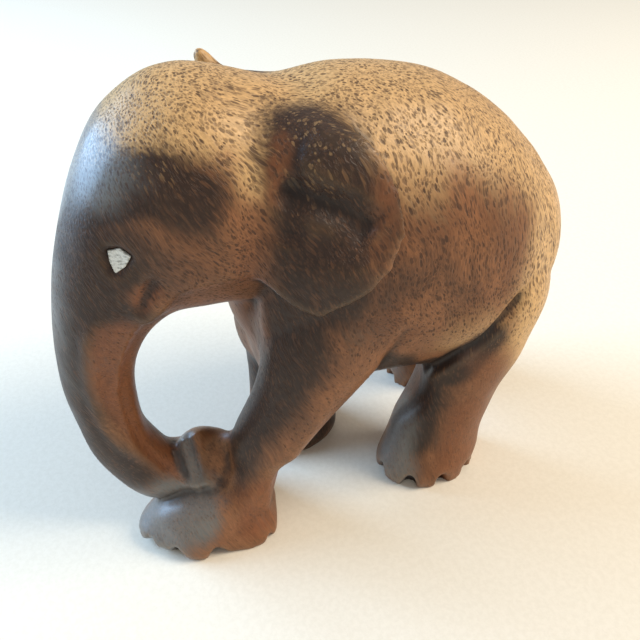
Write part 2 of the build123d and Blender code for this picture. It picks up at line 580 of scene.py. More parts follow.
def new_group(name: str, numbers: tuple[str, ...],
              outputs: tuple[str, ...]) -> tuple[Bench, dict, dict]:
    """Start a shader node group that takes a place and numbers, and gives numbers.

    Args:
        name: the group's name.
        numbers: the inputs after the first, which is the place.
        outputs: the results.

    Returns:
        The bench to build on, the sockets that bring the inputs in, and those that take results.
    """
    tree = bpy.data.node_groups.new(name, "ShaderNodeTree")
    inputs = ("Vector", *numbers)
    for label in inputs:
        kind = "NodeSocketVector" if label == "Vector" else "NodeSocketFloat"
        tree.interface.new_socket(label, in_out="INPUT", socket_type=kind)
    for label in outputs:
        tree.interface.new_socket(label, in_out="OUTPUT", socket_type="NodeSocketFloat")
    start = tree.nodes.new("NodeGroupInput")
    end = tree.nodes.new("NodeGroupOutput")
    given = {label: start.outputs[label] for label in inputs}
    taken = {label: end.inputs[label] for label in outputs}
    return Bench(tree), given, taken


def placed(bench: Bench, group: NodeTree, **values: object) -> bpy.types.Node:
    """Place a group in a tree with its own values."""
    return bench.node("Group", values, node_tree=group)


def fleck_group() -> NodeTree:
    """Build the dark fibre bundles: dashes along the grain, and dots where it is cut across.

    Returns:
        The group, whose results are the flecks' mask and a chance shade for each.
    """
    bend_scale, bend = 1.7, 0.5
    smallest, soft_edge = 0.45, 0.55
    bench, given, taken = new_group(
        "fibre_flecks", ("Across", "Along", "Size", "Fill"), ("Mask", "Shade"))
    cell = bench.node("CombineXYZ", {0: given["Across"], 1: given["Across"], 2: given["Along"]})
    scaled = bench.vector("DIVIDE", given["Vector"], cell.outputs[0])
    ragged = bench.node("TexNoise", {"Vector": scaled, "Scale": bend_scale})
    shift = bench.vector("SCALE", bench.vector("SUBTRACT", ragged.outputs["Color"], (0.5,) * 3), bend)
    feeds = {"Vector": bench.vector("ADD", scaled, shift), "Scale": 1.0}
    cells = bench.node("TexVoronoi", feeds, feature="F1", voronoi_dimensions="3D")
    chance = bench.node("SeparateColor", {0: cells.outputs["Color"]})
    size = bench.math("MULTIPLY", given["Size"], bench.math("ADD", chance.outputs[1], smallest))
    body = bench.ease(cells.outputs["Distance"], size, bench.math("MULTIPLY", size, soft_edge))
    kept = bench.math("GREATER_THAN", bench.math("ADD", chance.outputs[0], given["Fill"]), 1.0)
    bench.feed(taken["Mask"], bench.math("MULTIPLY", body, kept))
    bench.feed(taken["Shade"], chance.outputs[2])
    return bench.tree


def dirt_shade_and_wear_group() -> NodeTree:
    """Build what follows the relief: dark hollows (grime and painted shade) and polished raised parts (wear
    and a painted highlight).

    Returns:
        The group, whose results are the masks of the dark hollows and of the polished raised parts.
    """
    patch_scale = 0.9
    bench, given, taken = new_group("dirt_shade_and_wear", ("Relief", "Depth"), ("DirtAndShade", "WearAndHighlight"))
    patchy = bench.noise(given["Vector"], patch_scale, 3.0)
    uneven = bench.math("MULTIPLY", bench.math("SUBTRACT", patchy, 0.5), given["Depth"])
    level = bench.math("ADD", given["Relief"], uneven)
    bench.feed(taken["DirtAndShade"], bench.ease(level, 0.0, given["Depth"]))
    raised = bench.math("MULTIPLY", level, -1.0)
    bench.feed(taken["WearAndHighlight"], bench.ease(raised, 0.0, given["Depth"]))
    return bench.tree


def new_material(name: str) -> tuple[Bench, bpy.types.Node]:
    """Start a material.

    Args:
        name: the material's name.

    Returns:
        The bench to build on, and the material's Principled shader.
    """
    material = bpy.data.materials.new(name)
    material.use_nodes = True
    return Bench(material.node_tree), material.node_tree.nodes["Principled BSDF"]


@dataclass(frozen=True)
class FleckLayer:
    """One size of fibre fleck: its spacing across and along the grain, its size and its shift."""

    across: float
    along: float
    size: float
    shift: Point = (0.0, 0.0, 0.0)

    def lay(self, bench: Bench, flecks: NodeTree, grain: object,
            fill: object) -> bpy.types.Node:
        """Lay the flecks along the grain.

        Args:
            bench: the material's bench.
            flecks: the fibre fleck group.
            grain: places measured along the fibres.
            fill: the share of the places that hold a fleck.

        Returns:
            The placed group.
        """
        return placed(bench, flecks, Vector=bench.vector("ADD", grain, self.shift),
                      Across=self.across, Along=self.along, Size=self.size, Fill=fill)


@dataclass(frozen=True)
class FleckedWood:
    """Coarse tropical wood with dark fibre flecks, stained dark in places and rubbed to a satin; its colour
    also holds painted light, shade and reflections.
    """

    tan: Colour = (0.61, 0.375, 0.165, 1.0)
    brown: Colour = (0.245, 0.102, 0.042, 1.0)
    umber: Colour = (0.155, 0.064, 0.028, 1.0)
    stain_and_shade_dark: Colour = (0.032, 0.016, 0.010, 1.0)
    rust: Colour = (0.205, 0.072, 0.027, 1.0)
    dust_and_sheen_grey: Colour = (0.135, 0.132, 0.120, 1.0)
    fleck: Colour = (0.046, 0.021, 0.012, 1.0)
    bark: Colour = (0.085, 0.038, 0.018, 1.0)
    soot_and_shade: Colour = (0.016, 0.010, 0.008, 1.0)
    dashes: FleckLayer = FleckLayer(0.42, 1.35, 0.5)
    gaps: FleckLayer = FleckLayer(0.5, 2.8, 0.44, (3.0, 9.0, 5.0))
    hairs: FleckLayer = FleckLayer(0.33, 1.3, 0.5, (7.0, 3.0, 1.0))
    line_pitch: Point = (1.9, 1.9, 0.10)
    cloud_pitch: Point = (0.16, 0.16, 0.07)
    fine_pitch: Point = (5.0, 5.0, 1.2)
    rump_end: float = 25.0
    brow_end: float = -35.0
    rump_lean: float = 0.10
    brow_lean: float = 0.50
    mid_height: float = 45.0
    splay: float = 0.35
    wander: float = 5.0
    wander_scale: float = 0.07
    relief_depth: float = 0.35
    polish: float = 0.8
    bump_height: float = 0.12

    def grain(self, bench: Bench) -> Socket:
        """Measure places along the fibres, which lean back more at the head than at the rump.

        Args:
            bench: the material's bench.

        Returns:
            The places, in millimetres.
        """
        place = bench.millimetres()
        aside, along, up = bench.node("SeparateXYZ", {0: place}).outputs
        lean = bench.ease(along, self.rump_end, self.brow_end, self.rump_lean, self.brow_lean)
        slide = bench.math("MULTIPLY", bench.math("SUBTRACT", up, self.mid_height), lean)
        splay = bench.math("MULTIPLY", up, self.splay)
        sheared = bench.node("CombineXYZ", {
            0: bench.math("ADD", aside, splay), 1: bench.math("ADD", along, slide), 2: up})
        drift = bench.node("TexNoise", {"Vector": place, "Scale": self.wander_scale})
        wander = bench.vector("SUBTRACT", drift.outputs["Color"], (0.5,) * 3)
        return bench.vector("ADD", sheared.outputs[0], bench.vector("SCALE", wander, self.wander))

    def coats(self, bench: Bench, paint: dict[Tint, Socket], cloud: object,
              lines: object) -> dict[Tint, Socket]:
        """Give the painted washes an edge that is torn along the grain.

        Args:
            bench: the material's bench.
            paint: the washes as they are painted on the mesh.
            cloud: the broad noise along the grain.
            lines: the narrow noise along the grain.

        Returns:
            The four washes that change the wood's tone.
        """
        torn = bench.math(
            "ADD",
            bench.math("MULTIPLY", bench.math("SUBTRACT", cloud, 0.5), 0.9),
            bench.math("MULTIPLY", bench.math("SUBTRACT", lines, 0.5), 0.5),
        )
        return {
            tint: bench.ease(bench.math("ADD", paint[tint], torn), 0.05, 0.9)
            for tint in (Tint.GOLD_AND_PAINTED_LIGHT, Tint.STAIN_AND_SHADE, Tint.WARM, Tint.DUST_AND_SHEEN)
        }

    def tone(self, bench: Bench, coats: dict[Tint, Socket], cloud: object,
             fine: object, gaps: bpy.types.Node) -> Socket:
        """Lay the washes over the brown wood, one on the other; some of them are partly painted light, shade
        and reflection.

        Args:
            bench: the material's bench.
            coats: the washes, torn along the grain.
            cloud: the broad noise along the grain.
            fine: the finest noise along the grain.
            gaps: the dashes left unstained.

        Returns:
            The colour before the flecks.
        """
        colour = bench.mix(bench.ease(cloud, 0.3, 0.7), self.brown, self.umber)
        # golden top: partly the wood's own tone, partly painted light
        colour = bench.mix(coats[Tint.GOLD_AND_PAINTED_LIGHT], colour, self.tan)
        soaked = bench.ease(gaps.outputs["Mask"], 0.0, 1.0, 1.0, 0.72)
        # dark staining, which also paints the far fore foot's shadow
        colour = bench.mix(bench.math("MULTIPLY", coats[Tint.STAIN_AND_SHADE], soaked), colour, self.stain_and_shade_dark)
        colour = bench.mix(bench.math("MULTIPLY", coats[Tint.WARM], 0.85), colour, self.rust)
        # blue-grey: partly dust, partly a painted window reflection
        dust_and_sheen_patchiness = bench.ease(fine, 0.3, 0.6, 0.55, 1.0)
        return bench.mix(bench.math("MULTIPLY", coats[Tint.DUST_AND_SHEEN], dust_and_sheen_patchiness), colour, self.dust_and_sheen_grey)

    def material(self, flecks: NodeTree, dirt_shade_and_wear: NodeTree) -> Material:
        """Build the wood.

        Args:
            flecks: the fibre fleck group.
            dirt_shade_and_wear: the group that darkens hollows (grime and painted shade) and marks what
                stands proud.

        Returns:
            The material.
        """
        bench, shader = new_material("flecked_wood")
        grain = self.grain(bench)
        paint = {tint: bench.painted(tint.value) for tint in Tint}
        lines = bench.noise(bench.vector("MULTIPLY", grain, self.line_pitch), 1.0, 3.0, 0.6)
        cloud = bench.noise(bench.vector("MULTIPLY", grain, self.cloud_pitch), 1.0, 3.0)
        fine = bench.noise(bench.vector("MULTIPLY", grain, self.fine_pitch), 1.0, 2.0)
        coats = self.coats(bench, paint, cloud, lines)
        dashes = self.dashes.lay(bench, flecks, grain, bench.math("MULTIPLY", paint[Tint.FLECK], 0.95))
        gaps = self.gaps.lay(bench, flecks, grain, 0.6)
        scattered = bench.math("ADD", bench.math("MULTIPLY", paint[Tint.FLECK], 0.5), 0.3)
        hairs = self.hairs.lay(bench, flecks, grain, scattered)
        marks = placed(bench, dirt_shade_and_wear, Vector=bench.millimetres(),
                       Relief=bench.painted("relief"), Depth=self.relief_depth)
        colour = self.tone(bench, coats, cloud, fine, gaps)
        colour = bench.vector("SCALE", colour, bench.ease(lines, 0.3, 0.72, 1.1, 0.84))
        colour = bench.vector("SCALE", colour, bench.ease(fine, 0.3, 0.7, 1.1, 0.88))
        colour = bench.mix(bench.math("MULTIPLY", hairs.outputs["Mask"], 0.5), colour, self.bark)
        strength = bench.math("ADD", bench.math("MULTIPLY", dashes.outputs["Shade"], 0.5), 0.35)
        colour = bench.mix(bench.math("MULTIPLY", dashes.outputs["Mask"], strength), colour, self.fleck)
        # darker in hollows and toe notches: partly grime, partly painted shade
        dirt_and_shade = bench.math("MAXIMUM", marks.outputs["DirtAndShade"], paint[Tint.SOOT_AND_SHADE])
        colour = bench.mix(bench.math("MULTIPLY", dirt_and_shade, 0.75), colour, self.soot_and_shade)
        # raised parts a little lighter: partly wear, partly a painted highlight
        colour = bench.mix(bench.math("MULTIPLY", marks.outputs["WearAndHighlight"], 0.06), colour, self.tan)
        bench.feed(shader.inputs["Base Color"], colour)
        rough = bench.math("ADD", 0.34, bench.math("MULTIPLY", lines, 0.2))
        rough = bench.math("ADD", rough, bench.math("MULTIPLY", dashes.outputs["Mask"], 0.15))
        rough = bench.math("SUBTRACT", rough, bench.math("MULTIPLY", marks.outputs["WearAndHighlight"], 0.08))
        bench.feed(shader.inputs["Roughness"], rough)
        bench.feed(shader.inputs["Coat Weight"],
                   bench.math("ADD", 0.05, bench.math("MULTIPLY", coats[Tint.DUST_AND_SHEEN], self.polish)))
        for name, value in (("Specular IOR Level", 0.3), ("Coat Roughness", 0.36), ("IOR", 1.5)):
            shader.inputs[name].default_value = value
        height = bench.math("SUBTRACT", bench.math("MULTIPLY", lines, 0.5),
                            bench.math("MULTIPLY", dashes.outputs["Mask"], 0.6))
        height = bench.math("ADD", height, bench.math("MULTIPLY", fine, 0.35))
        height = bench.math("SUBTRACT", height, bench.math("MULTIPLY", hairs.outputs["Mask"], 0.3))
        bench.feed(shader.inputs["Normal"], bench.bump(height, 0.55, self.bump_height))
        return bpy.data.materials["flecked_wood"]


@dataclass(frozen=True)
class ScuffedChip:
    """Off-white inlay, scuffed grey from being handled, darker against the wood: partly grime, partly
    painted shade.
    """

    white: Colour = (0.74, 0.74, 0.68, 1.0)
    grey: Colour = (0.36, 0.36, 0.32, 1.0)
    dirt_and_shade: Colour = (0.06, 0.045, 0.03, 1.0)
    scuff_pitch: Point = (1.4, 1.4, 3.2)
    scratch_pitch: Point = (1.0, 6.0, 2.0)
    relief_depth: float = 0.12

    def material(self, dirt_shade_and_wear: NodeTree) -> Material:
        """Build the inlay's finish.

        Args:
            dirt_shade_and_wear: the group that darkens hollows (grime and painted shade) and marks what
                stands proud.

        Returns:
            The material.
        """
        bench, shader = new_material("scuffed_chip")
        place = bench.millimetres()
        scuff = bench.noise(bench.vector("MULTIPLY", place, self.scuff_pitch), 1.0, 4.0, 0.65)
        scratch = bench.noise(bench.vector("MULTIPLY", place, self.scratch_pitch), 1.0, 3.0)
        marks = placed(bench, dirt_shade_and_wear, Vector=place, Relief=bench.painted("relief"),
                       Depth=self.relief_depth)
        colour = bench.mix(bench.ease(scuff, 0.46, 0.66), self.white, self.grey)
        colour = bench.vector("SCALE", colour, bench.ease(scratch, 0.3, 0.7, 1.06, 0.9))
        # darker in the chip's hollows: partly grime, partly painted shade
        colour = bench.mix(bench.math("MULTIPLY", marks.outputs["DirtAndShade"], 0.5), colour, self.dirt_and_shade)
        bench.feed(shader.inputs["Base Color"], colour)
        bench.feed(shader.inputs["Roughness"], bench.ease(scuff, 0.35, 0.7, 0.32, 0.62))
        bench.feed(shader.inputs["Normal"], bench.bump(bench.math("ADD", scuff, scratch), 0.4, 0.08))
        return bpy.data.materials["scuffed_chip"]


@dataclass(frozen=True)
class PaleCard:
    """The studio floor: cream card with a faint tooth."""

    cream: Colour = (0.86, 0.795, 0.67, 1.0)
    shade: Colour = (0.82, 0.755, 0.63, 1.0)

    def material(self) -> Material:
        """Build the floor's finish.

        Returns:
            The material.
        """
        bench, shader = new_material("pale_floor")
        place = bench.millimetres()
        tooth = bench.noise(place, 0.9, 4.0, 0.7)
        bench.feed(shader.inputs["Base Color"],
                   bench.mix(bench.ease(tooth, 0.35, 0.65), self.cream, self.shade))
        bench.feed(shader.inputs["Roughness"], bench.ease(tooth, 0.3, 0.7, 0.75, 0.9))
        bench.feed(shader.inputs["Normal"], bench.bump(tooth, 0.25, 0.15))
        return bpy.data.materials["pale_floor"]


# ---- the body

EAR_VALLEY = ((15.2, -15.6, 75.0), (17.4, -12.0, 72.8), (19.1, -8.6, 71.2), (21.1, -5.6, 69.4),
              (22.4, -3.4, 67.4))
EAR_FRONT = ((12.6, -12.4, 81.2), (14.4, -14.2, 77.0), (15.8, -15.6, 72.0), (16.6, -17.0, 67.0),
             (16.4, -18.2, 62.6))
EAR_HOLLOW = ((16.6, -13.2, 75.6), (17.8, -14.2, 70.6), (18.2, -15.2, 66.0))
EAR_FRONT_SEAM = ((13.6, -10.9, 80.4), (15.2, -12.6, 77.4), (16.4, -13.4, 74.6))
EAR_REAR_SEAM = ((17.6, -0.6, 77.0), (20.4, 0.2, 73.6), (22.0, 0.4, 69.6), (22.8, -0.4, 65.6))
EAR_UNDERCUT = ((16.4, -18.6, 58.6), (17.8, -15.6, 56.4), (19.2, -12.2, 54.0), (20.4, -9.4, 54.0))
HAUNCH_CREASE = ((22.0, 27.6, 48.4), (21.7, 24.8, 45.0), (21.3, 21.8, 41.9), (20.2, 19.4, 38.6),
                 (18.6, 17.0, 35.4), (16.2, 15.0, 31.8), (12.6, 13.9, 28.0), (9.0, 13.4, 26.0))
ELBOW_CREASE = ((20.4, 4.9, 48.2), (19.8, 3.6, 44.2), (17.8, 3.2, 38.6), (14.4, 3.9, 34.4))
TRUNK_RIDGE = ((9.6, -40.0, 56.6), (8.2, -42.2, 53.6), (7.2, -43.9, 49.6), (6.7, -44.8, 42.6),
               (6.5, -44.6, 34.6), (6.7, -42.5, 26.8), (6.9, -38.6, 20.8))
TRUNK_FLAT = ((9.0, -38.8, 50.6), (7.8, -40.8, 44.0), (7.2, -41.2, 36.0), (7.2, -39.4, 28.6),
              (7.4, -36.2, 21.6))
MOUTH_LINE = ((12.4, -32.6, 62.4), (11.8, -33.6, 60.4), (11.0, -34.8, 57.8), (9.8, -35.6, 55.4))
KNOB_GROOVES = (
    ((1.2, -32.6, 20.6), (4.6, -33.2, 18.6), (7.4, -32.8, 15.2), (8.8, -32.0, 11.0)),
    ((1.6, -30.2, 21.4), (5.4, -30.6, 19.6), (8.4, -30.4, 16.0), (9.8, -30.0, 11.6)),
)
KNOB_FACET = ((7.5, -26.5, 19), (9.5, -26, 15), (9.8, -26, 12))
FAR_EAR_TIP = ((-15.4, -15, 82), (-15.4, -16.5, 85))
SIDEWAYS = (-0.42, -0.91, 0.0)


@dataclass(frozen=True)
class Sole:
    """One foot's outline on the floor, and its toe notches' turns from straight ahead, in degrees."""

    centre: tuple[float, float]
    across: float
    along: float
    turns: tuple[float, ...] = (-45, 0, 45, 84, 120)
    rise: float = 0.2
    width: float = 2.0
    height: float = 3.8
    depth: float = 2.8
    soot_and_shade: float = 1.6

    def notches(self) -> list[Swell]:
        """Set out a small upright notch at each turn, cut level into the foot from the sole's rim.

        Returns:
            The cuts, as places that are pushed in.
        """
        cuts = []
        outward = 1 if self.centre[0] > 0 else -1
        for turn in self.turns:
            aside = outward * sin(radians(turn))
            ahead = -cos(radians(turn))
            rim = (self.centre[0] + self.across * aside, self.centre[1] + self.along * ahead, self.rise)
            radii = (self.width, self.width, self.height)
            cuts.append(Swell(rim, radii, -self.depth, (aside, ahead, 0.0)))
        return cuts

    def notch_darkening(self) -> list[Wash]:
        """Darken each notch: partly grime, partly painted shade.

        Returns:
            One dark wash for each notch, from the rim to the notch's deepest place.
        """
        marks = []
        for notch in self.notches():
            back = tuple(at + notch.height * part for at, part in zip(notch.centre, notch.along))
            marks.append(Wash(Tint.SOOT_AND_SHADE, (notch.centre, back), self.width, self.soot_and_shade))
        return marks


@dataclass(frozen=True)
class CarvedBody:
    """The one-piece body: its skin, the details cut into it, and the washes that colour it."""

    node: str = "carved_body"
    voxel: float = 0.52
    relax_rounds: int = 9
    swell_blur: int = 4
    stroke_blur: int = 3
    finish_rounds: int = 2
    relief_rounds: int = 24
    unevenness: Point = (0.16, 0.16, 0.09)
    blade: float = 0.28
    lumps: tuple[Lump, ...] = (
        Lump((4.4, -28.2, 12.8), (6.4, 6.8, 8.8), (0, 8, 0),
             faces=(((8.0, -26.5, 15.8), (0.72, 0.34, 0.60)), ((6.9, -32.0, 16.5), (0.62, -0.50, 0.60)))),
        Lump((1.5, -9.5, 38.0), (11.0, 6.5, 14.0)),
        Lump((-8.0, -9.0, 34.5), (7.0, 7.3, 12.0)),
        Lump((-1.0, -14.0, 45.0), (7.0, 5.0, 8.0)),
        Lump((17.4, 13.2, 2.3), (2.2, 2.0, 2.4)),
        Lump((-15.4, -13.9, 80.4), (2.5, 2.4, 5.2), (30, 0, 0)),
        Lump((0.0, -33.6, 56.6), (8.8, 3.2, 3.4)),
        Lump((5.2, -33.4, 64.3), (6.0, 6.0, 6.0), both_sides=True),
    )
    swells: tuple[Swell, ...] = (
        Swell((16.6, -8.0, 76.5), (6, 8, 6), 0.9, both_sides=True),
        Swell((21.0, -9.0, 61.5), (6, 8, 6), 0.8, both_sides=True),
        Swell((20.5, -6.5, 66.0), (5, 7, 4), -0.6, both_sides=True),
        Swell((-14.5, -3.0, 80.5), (9, 8, 6), -2.4, (0.0, 0.0, 1.0)),
        Swell((3.0, -43.0, 40.0), (16, 14, 34), 1.1, SIDEWAYS),
        Swell((9.0, -13.5, 5.0), (14, 8, 13), 3.0, (-0.25, -0.97, 0.0)),
        Swell((10.5, -41.0, 0.0), (11, 9, 8), 2.6, (-0.35, 0.93, 0.0)),
        Swell((16.0, -21.0, 0.0), (8, 9, 7), 2.0, (0.95, 0.3, 0.0)),
        Swell((9.0, -32.0, 9.0), (9, 11, 5), 0.8, (0.0, 0.0, 1.0)),
        Swell((15.0, -16.0, 14.0), (7, 8, 8), -1.4),
        Swell((13.5, -3.5, 27.0), (13, 13, 15), 3.0, SIDEWAYS),
        Swell((12.0, -9.0, 16.0), (12, 12, 13), 3.0, SIDEWAYS),
        Swell((8.0, 12.5, 24.0), (11, 9, 12), 2.8, (0.42, 0.91, 0.0)),
        Swell((20.8, 17.4, 43.5), (5, 9, 8), 0.8),
        Swell((11.6, -33.8, 55.6), (5, 5, 5), 1.8, (0.1, -0.3, -0.95)),
        Swell((16.0, 36.0, 46.0), (20, 22, 44), -1.4, (0.42, 0.91, 0.0)),
        Swell((0.0, 24.0, 80.0), (22, 22, 14), 0.9, (0.0, 0.3, 0.95)),
        Swell((14.0, -30.0, 12.5), (7, 9, 4), -0.6),
    )
    rubs: tuple[Rub, ...] = (
        Rub(((-11.0, -12.0, 82.0), (0.0, -11.0, 86.0), (11.0, -12.0, 82.0)), 11.0, 90),
        Rub(((11.0, -5.0, 82.0), (12.0, -11.0, 81.5)), 5.0, 40, True),
        Rub(EAR_FRONT, 4.5, 60, True),
        Rub(((8.0, -13.0, 34.0), (2.0, -15.5, 42.0), (-5.0, -15.5, 42.0), (-10.0, -13.0, 30.0)), 9.0, 110),
        Rub(((21.0, 23.4, 41.0), (19.8, 20.4, 36.0), (18.0, 17.4, 31.5), (14.0, 14.4, 27.5)), 4.6, 50),
        Rub(((1.0, -24.5, 18.5), (4.0, -24.3, 19.0)), 4.5, 50),
        Rub(((20.5, -7.5, 55.4), (22.6, -3.6, 59.0), (23.6, -0.6, 63.4)), 3.4, 30, True),
    )
    strokes: tuple[Stroke, ...] = (
        Stroke(EAR_VALLEY, 4.0, 1.7, fade=0.15, both_sides=True),
        Stroke(EAR_HOLLOW, 3.2, 0.8, both_sides=True),
        Stroke(EAR_FRONT_SEAM, 1.2, 0.35, Cut.KNIFE, both_sides=True),
        Stroke(EAR_REAR_SEAM, 1.3, 0.4, Cut.KNIFE, both_sides=True),
        Stroke(EAR_UNDERCUT, 2.2, 0.9, both_sides=True),
        Stroke(HAUNCH_CREASE, 1.7, 1.7, Cut.KNIFE, 0.12),
        Stroke(ELBOW_CREASE, 2.0, 0.8, Cut.KNIFE),
        Stroke(TRUNK_RIDGE, 2.2, -0.55),
        Stroke(TRUNK_FLAT, 3.2, 0.5),
        Stroke(MOUTH_LINE, 1.8, 0.8, both_sides=True),
        Stroke(KNOB_GROOVES[0], 1.2, 0.6, Cut.KNIFE, 0.15),
        Stroke(KNOB_GROOVES[1], 1.2, 0.6, Cut.KNIFE, 0.15),
    )
    soles: tuple[Sole, ...] = (
        Sole((7.4, -28.4), 8.6, 13.4, (-50, 11, 45, 79, 110)),
        Sole((-9.3, -5.0), 8.4, 10.2),
        Sole((11.5, 18.3), 8.5, 11.0),
        Sole((-13.5, 33.5), 8.3, 10.2),
    )
    washes: tuple[Wash, ...] = (
        Wash(Tint.FLECK, ((0, -36, 78), (0, -18, 84), (0, 5, 80), (0, 25, 76), (0, 42, 60)), 38, 2.2),
        Wash(Tint.FLECK, ((18, -26, 66), (19, 4, 56), (20, 26, 54)), 20, 1.4, True),
        Wash(Tint.FLECK, ((18, -10, 66), (18, -12, 50), (15, -18, 36)), 15, 1.0, True),
        # golden washes along the back, head top, neck and haunch: partly the wood's own tone, partly painted
        # light from above and from the lamp behind
        Wash(Tint.GOLD_AND_PAINTED_LIGHT, ((0, -8, 84), (0, 8, 82), (0, 26, 80), (0, 40, 66), (0, 46, 50)), 30, 2.0),
        Wash(Tint.GOLD_AND_PAINTED_LIGHT, ((0, -32, 83), (3, -21, 85), (0, -10, 85)), 18, 2.0),
        Wash(Tint.GOLD_AND_PAINTED_LIGHT, ((12, -17, 79), (13.5, -17, 76)), 8, 1.0, True),
        Wash(Tint.GOLD_AND_PAINTED_LIGHT, ((14, 40, 60), (18, 38, 50), (17, 36, 39)), 20, 1.35, True),
        Wash(Tint.GOLD_AND_PAINTED_LIGHT, ((15, 35, 32), (14, 34, 20)), 13, 0.5, True),
        Wash(Tint.WARM, ((20, 24, 32), (19, 24, 26), (19, 22, 18)), 9, 0.7, True),
        Wash(Tint.GOLD_AND_PAINTED_LIGHT, ((21, 15, 42), (20, 30, 44)), 12, 0.5, True),
        Wash(Tint.STAIN_AND_SHADE, ((9, -38, 65), (8, -41, 57)), 15, 1.1, True),
        Wash(Tint.STAIN_AND_SHADE, ((0, -43, 68), (7.7, -37, 73.5), (11, -31, 76), (13, -26, 74)), 8.5, 1.3, True),
        Wash(Tint.STAIN_AND_SHADE, ((2, -44, 66), (3, -47, 54), (3, -48, 40), (3, -46, 28), (3, -40, 17)), 11, 1.1),
        Wash(Tint.STAIN_AND_SHADE, ((14, -9, 79), (17, -9, 72), (19, -10, 64), (20, -10, 57)), 13, 1.5, True),
        Wash(Tint.STAIN_AND_SHADE, ((17, -14, 54), (16, -14, 44), (12, -20, 30), (11, -26, 18)), 10, 1.2),
        Wash(Tint.STAIN_AND_SHADE, ((-17, -14, 54), (-16, -12, 44), (-11, -12, 30), (-9, -14, 18)), 9),
        Wash(Tint.STAIN_AND_SHADE, ((20, -4, 52), (21.5, 4, 57), (22, 14, 52)), 13, 0.42, True),
        Wash(Tint.WARM, ((20, 3, 49), (20, 8, 42), (20, 16, 46), (20, 20, 54)), 10, 0.42, True),
        Wash(Tint.STAIN_AND_SHADE, ((20.5, 21, 39), (18, 17, 32), (15, 14, 28), (14, 12, 20), (14, 11, 14)), 6.5, 1.5),
        Wash(Tint.STAIN_AND_SHADE, ((17, 5, 35), (15, 9, 30), (16, 14, 30)), 8, 1.4),
        Wash(Tint.STAIN_AND_SHADE, ((15, 15, 25), (15, 13, 18), (15, 12, 12)), 7.5, 1.1),
        Wash(Tint.STAIN_AND_SHADE, ((14, 2, 33), (8, 10, 27)), 8, 0.9),
        Wash(Tint.STAIN_AND_SHADE, ((-12, 4, 30), (-8, 12, 27)), 8, 0.9),
        Wash(Tint.STAIN_AND_SHADE, FAR_EAR_TIP, 5, -0.9),
        # painted shadow: the far fore foot, in the body's shade, darkened like the staining
        Wash(Tint.STAIN_AND_SHADE, ((-5, 3, 5), (-1, -5, 4)), 9, 1.1),
        Wash(Tint.WARM, ((8, -39, 51), (7, -41, 42), (7, -39, 34), (6, -37, 26), (6, -33, 17)), 6.5, 1.2),
        Wash(Tint.WARM, ((-8, -39, 51), (-7, -40, 42), (-7, -39, 34), (-6, -37, 26)), 6),
        # the trunk knob's cut facet: unstained orange cut wood, made lighter as painted light where the lamp
        # falls on it
        Wash(Tint.STAIN_AND_SHADE, ((7.5, -26.5, 19), (9.5, -26, 15), (9.8, -26, 11)), 5.0, -1.0),
        Wash(Tint.GOLD_AND_PAINTED_LIGHT, KNOB_FACET, 4.4, 0.75),
        Wash(Tint.WARM, KNOB_FACET, 4.6, 1.0),
        Wash(Tint.WARM, ((16, -22, 5), (14, -20, 10)), 9, 1.1),
        Wash(Tint.WARM, ((19, 20, 4), (19, 22, 12), (19, 23, 20)), 9, 1.2),
        Wash(Tint.WARM, ((11, -34, 59),), 4.5, 1.3, True),
        Wash(Tint.GOLD_AND_PAINTED_LIGHT, FAR_EAR_TIP, 4, 0.7),
        Wash(Tint.WARM, ((20, -1, 74), (22, -2, 70), (22, -3, 64)), 4.5, 0.6, True),
        Wash(Tint.STAIN_AND_SHADE, ((20, -1, 73), (22.5, -2, 68), (22.5, -4, 62)), 6, 0.75, True),
        Wash(Tint.WARM, ((13, -13.6, 80), (15.4, -15.6, 73)), 3.4, 0.75, True),
        Wash(Tint.WARM, ((14.5, -19, 66), (15, -20, 60)), 6, 0.6, True),
        # blue-grey washes on the feet, knob, forehead and trunk front: partly dust, partly a painted
        # reflection of the window
        Wash(Tint.DUST_AND_SHEEN, ((12, -35, 10), (10, -38, 8), (9, -40, 3)), 11.5, 1.5),
        Wash(Tint.DUST_AND_SHEEN, ((11, 11, 16), (13, 9, 9), (14, 10, 3)), 7.5, 1.1),
        Wash(Tint.DUST_AND_SHEEN, ((-9, -14, 6),), 8, 0.8),
        Wash(Tint.DUST_AND_SHEEN, ((-13, 24, 6),), 8, 0.5),
        Wash(Tint.DUST_AND_SHEEN, ((3, -31.5, 20.5), (6, -32, 18), (8, -31.4, 14)), 3.6, 1.3),
        Wash(Tint.DUST_AND_SHEEN, ((-5, -40, 71), (-2, -38, 76), (6, -37, 77)), 10, 1.1),
        Wash(Tint.DUST_AND_SHEEN, ((0, -44, 64), (2, -46, 56), (2, -47, 46), (2, -46, 36)), 8, 0.32),
    )

    def skin(self) -> Clay:
        """Join the added blocks to the body and give it one even, relaxed skin.

        Returns:
            The body's mesh.
        """
        mesh = node_mesh(self.node)
        for lump in self.lumps:
            lump.add_to(mesh)
        clay = Clay(remeshed(mesh, "elephant_body", self.voxel))
        clay.relax(self.relax_rounds)
        return clay

    def carve(self, clay: Clay) -> None:
        """Cut the details, then leave the faint flats of a hand-held blade.

        Args:
            clay: the body's mesh, changed in place.
        """
        for rub in self.rubs:
            rub.smooth(clay)
        for swell in self.swells:
            swell.carve(clay.vertices, clay.normals(self.swell_blur))
        for stroke in self.strokes:
            stroke.carve(clay.vertices, clay.normals(self.stroke_blur))
        out = clay.normals()
        for sole in self.soles:
            for notch in sole.notches():
                notch.carve(clay.vertices, out)
        clay.relax(self.finish_rounds)
        clay.ripple(self.unevenness, self.blade)
        clay.vertices[:, 2] = np.maximum(clay.vertices[:, 2], 0.0)

